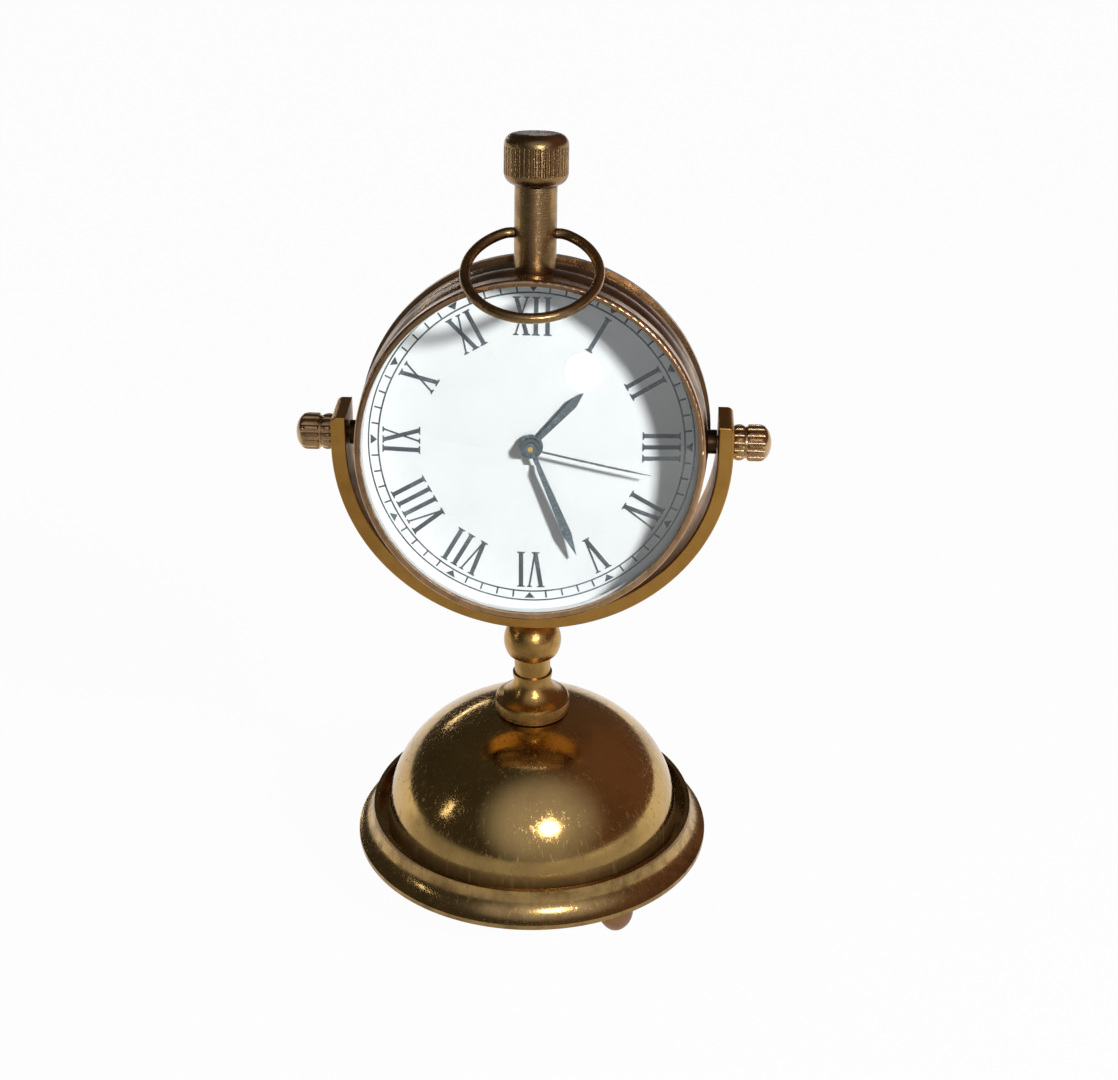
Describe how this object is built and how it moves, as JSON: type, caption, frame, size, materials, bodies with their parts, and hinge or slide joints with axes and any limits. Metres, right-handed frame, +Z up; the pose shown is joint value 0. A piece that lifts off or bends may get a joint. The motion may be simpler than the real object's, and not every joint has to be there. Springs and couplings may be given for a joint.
{
  "type": "tilting desk clock",
  "caption": "Brass desk clock: a round watch case with pendant, crown and bow tilts in a U-shaped yoke on a turned pillar over a bell-shaped dome and a coved base with ball feet.",
  "frame": {"origin": "on the table, under the middle of the base", "axes": "+Z up, dial towards -Y, +X to the right of a person who reads the dial"},
  "size_m": [0.0742, 0.059, 0.1259],
  "materials": {
    "polished_brass": "polished, with fine scratches",
    "satin_brass": "satin",
    "aged_brass": "aged, worn bright on edges",
    "rosy_brass": "aged, polished",
    "steel": "brushed",
    "blued_steel": "blued",
    "white_enamel": "white enamel",
    "white_plastic": "moulded",
    "movement_brass": "fine brushed",
    "lens_glass": "clear, domed",
    "coil_wire": "enamelled copper wire",
    "green_board": "solder mask",
    "black_epoxy": "moulded epoxy"
  },
  "bodies": {
    "stand": {"base_ring": "satin_brass", "base_plate": "steel", "feet": "rosy_brass", "bell_dome": "polished_brass", "pillar": "satin_brass", "tie_stud": "steel", "stud_washer": "steel", "stud_nut": "steel", "yoke": "satin_brass", "yoke_screw": "steel"},
    "case": {"case_band": "rosy_brass", "bezel": "rosy_brass", "lens": "lens_glass", "dial_ring": "white_enamel", "dial": "white_enamel", "back_cover": "aged_brass", "movement_holder": "white_plastic", "main_plate": "movement_brass", "train_bridge": "movement_brass", "bridge_posts": "movement_brass", "bridge_screws": "steel", "centre_bush": "movement_brass", "stator": "steel", "coil_core": "steel", "coil": "coil_wire", "circuit_board": "green_board", "driver_chip": "black_epoxy", "quartz_crystal": "steel", "button_cell": "steel", "cell_contact": "steel", "stem_guide": "movement_brass", "pendant_tube": "aged_brass", "pivot_bushes": "aged_brass"},
    "left_pivot": {"left_knob": "satin_brass"},
    "right_pivot": {"right_knob": "satin_brass"},
    "bow_ring": {"bow": "aged_brass"},
    "stem_slide": {"stem_collar": "steel"},
    "crown_stem": {"crown": "aged_brass", "setting_stem": "steel"},
    "minute_arbor": {"centre_wheel": "movement_brass", "minute_hand": "blued_steel"},
    "hour_arbor": {"hour_wheel": "movement_brass", "hour_hand": "blued_steel"},
    "second_arbor": {"second_wheel": "movement_brass", "second_hand": "blued_steel"},
    "third_arbor": {"third_wheel": "movement_brass"},
    "motion_wheel": {"minute_wheel": "movement_brass"},
    "intermediate_arbor": {"intermediate_wheel": "white_plastic"},
    "rotor_arbor": {"rotor": "steel"}
  },
  "joints": [
    {"name": "case_tilt", "type": "hinge", "parent": "stand", "child": "case", "pos_m": [0, 0, 0.07898], "axis": [1, 0, 0], "range_deg": [-130, 140]},
    {"name": "left_knob_turn", "type": "hinge", "parent": "case", "child": "left_pivot", "pos_m": [-0.031, 0, 0.07898], "axis": [-1, 0, 0], "continuous": true},
    {"name": "right_knob_turn", "type": "hinge", "parent": "case", "child": "right_pivot", "pos_m": [0.031, 0, 0.07898], "axis": [1, 0, 0], "continuous": true},
    {"name": "bow_swing", "type": "hinge", "parent": "case", "child": "bow_ring", "pos_m": [0, 0.00501, 0.11058], "axis": [-1, 0, 0], "range_deg": [0, 245]},
    {"name": "crown_pull", "type": "slide", "parent": "case", "child": "stem_slide", "axis": [0, 0.1564, 0.9877], "range_m": [0, 0.0012]},
    {"name": "crown_turn", "type": "hinge", "parent": "stem_slide", "child": "crown_stem", "pos_m": [0, 0.00673, 0.12145], "axis": [0, 0.1564, 0.9877], "continuous": true},
    {"name": "minute_turn", "type": "hinge", "parent": "case", "child": "minute_arbor", "pos_m": [0, 0, 0.07898], "axis": [0, 0.9877, -0.1564], "continuous": true},
    {"name": "hour_turn", "type": "hinge", "parent": "case", "child": "hour_arbor", "pos_m": [0, 0, 0.07898], "axis": [0, 0.9877, -0.1564], "continuous": true},
    {"name": "second_turn", "type": "hinge", "parent": "case", "child": "second_arbor", "pos_m": [0, 0, 0.07898], "axis": [0, 0.9877, -0.1564], "continuous": true},
    {"name": "third_turn", "type": "hinge", "parent": "case", "child": "third_arbor", "pos_m": [-0.00471, 0.00043, 0.08166], "axis": [0, 0.9877, -0.1564], "continuous": true},
    {"name": "motion_turn", "type": "hinge", "parent": "case", "child": "motion_wheel", "pos_m": [0, -0.00063, 0.07503], "axis": [0, 0.9877, -0.1564], "continuous": true},
    {"name": "intermediate_turn", "type": "hinge", "parent": "case", "child": "intermediate_arbor", "pos_m": [0.00478, 0.00043, 0.0817], "axis": [0, 0.9877, -0.1564], "continuous": true},
    {"name": "rotor_turn", "type": "hinge", "parent": "case", "child": "rotor_arbor", "pos_m": [0.00856, 0.00043, 0.0817], "axis": [0, 0.9877, -0.1564], "continuous": true}
  ],
  "couplings": [
    {"joint": "hour_turn", "follows": "minute_turn", "ratio": 0.083333},
    {"joint": "second_turn", "follows": "minute_turn", "ratio": 60},
    {"joint": "third_turn", "follows": "minute_turn", "ratio": -7.5},
    {"joint": "motion_turn", "follows": "minute_turn", "ratio": -0.33333},
    {"joint": "intermediate_turn", "follows": "minute_turn", "ratio": -300},
    {"joint": "rotor_turn", "follows": "minute_turn", "ratio": 1800}
  ]
}
